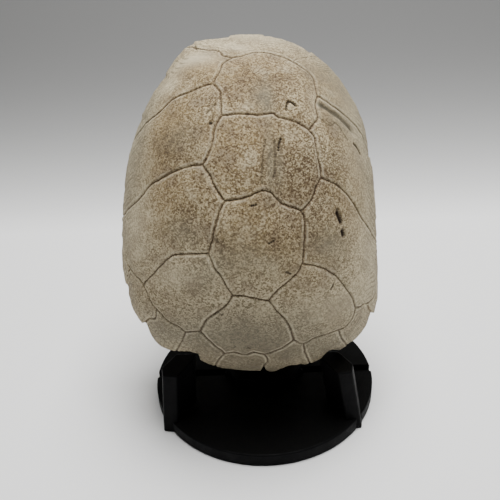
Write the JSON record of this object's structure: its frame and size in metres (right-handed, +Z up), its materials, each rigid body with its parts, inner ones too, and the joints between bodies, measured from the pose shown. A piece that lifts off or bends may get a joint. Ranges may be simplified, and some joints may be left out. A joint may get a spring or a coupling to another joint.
{
  "type": "tortoise carapace on a display stand",
  "caption": "Hollow domed shell standing tail down and leaning back, held by two front brackets and a forked back rest on a round base disc.",
  "frame": {"origin": "centre of the base disc's underside, on the surface that it stands on", "axes": "+Z up; -Y is the side that the back of the shell faces; +X to the right seen from that side"},
  "size_m": [0.1092, 0.1018, 0.1512],
  "materials": {
    "bleached_bone": "weathered, bleached bone, dull, with brown seams between the scutes and fine brown specks",
    "black_plastic": "black printed plastic, satin, with fine layer lines"
  },
  "bodies": {
    "root": {"carapace": "bleached_bone", "base_disc": "black_plastic", "left_bracket": "black_plastic", "right_bracket": "black_plastic", "back_rest": "black_plastic"}
  },
  "joints": []
}
